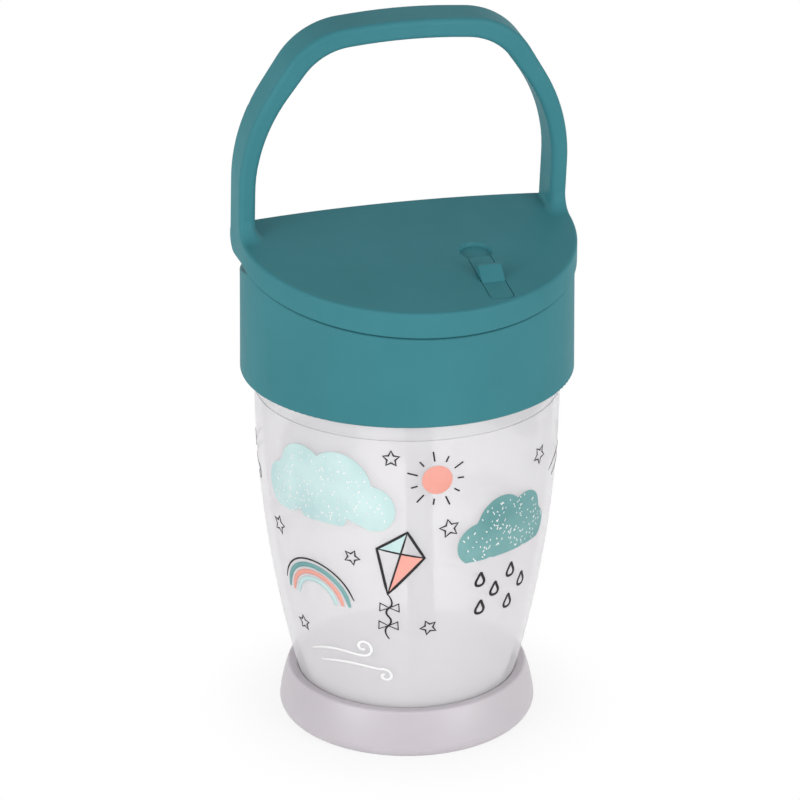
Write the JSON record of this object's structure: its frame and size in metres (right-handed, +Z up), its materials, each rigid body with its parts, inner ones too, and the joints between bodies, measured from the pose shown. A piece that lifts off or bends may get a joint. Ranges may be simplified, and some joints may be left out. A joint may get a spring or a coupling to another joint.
{
  "type": "straw cup",
  "caption": "Toddler straw cup: tapered frosted cup in a soft foot ring, screw-on lid, and a sloping flip-up half-moon hood moulded with its carrying handle over a folding spout and straw.",
  "frame": {"origin": "centre of the foot ring's flat underside, on the cup's axis", "axes": "+Z up along the cup's axis, -Y towards the drinker, where the hood slopes down, +X to the right seen from the front"},
  "size_m": [0.0864, 0.0862, 0.1904],
  "materials": {
    "cup_frosted": "translucent frosted plastic with a printed pattern",
    "foot_grip": "milky soft plastic, satin",
    "lid_teal": "moulded plastic, satin",
    "silicone_clear": "translucent silicone",
    "silicone_white": "white silicone"
  },
  "bodies": {
    "cup": {"cup_body": "cup_frosted", "foot_ring": "foot_grip"},
    "seal": {"lid_gasket": "silicone_white"},
    "lid": {"lid_collar": "lid_teal", "straw_tube": "silicone_clear", "spout_root": "silicone_clear", "vent_valve": "silicone_white"},
    "spout": {"spout_tip": "silicone_clear"},
    "hood": {"flip_hood": "lid_teal"},
    "lock": {"lock_slider": "lid_teal", "latch_bolt": "lid_teal"}
  },
  "joints": [
    {"name": "lid_lift", "type": "slide", "parent": "cup", "child": "seal", "axis": [0, 0, 1], "range_m": [0, 0.13]},
    {"name": "lid_turn", "type": "hinge", "parent": "seal", "child": "lid", "pos_m": [0, 0, 0.1], "axis": [0, 0, 1], "range_deg": [0, 270]},
    {"name": "hood_open", "type": "hinge", "parent": "lid", "child": "hood", "pos_m": [0, 0.00859, 0.1324], "axis": [-1, 0, 0], "range_deg": [0, 100]},
    {"name": "spout_rise", "type": "hinge", "parent": "lid", "child": "spout", "pos_m": [0, -0.0095, 0.1176], "axis": [-1, 0, 0], "range_deg": [0, 80]},
    {"name": "lock_slide", "type": "slide", "parent": "hood", "child": "lock", "axis": [0, 0.9842, 0.1771], "range_m": [0, 0.006]}
  ],
  "couplings": [
    {"joint": "spout_rise", "follows": "hood_open", "ratio": 0.8}
  ]
}
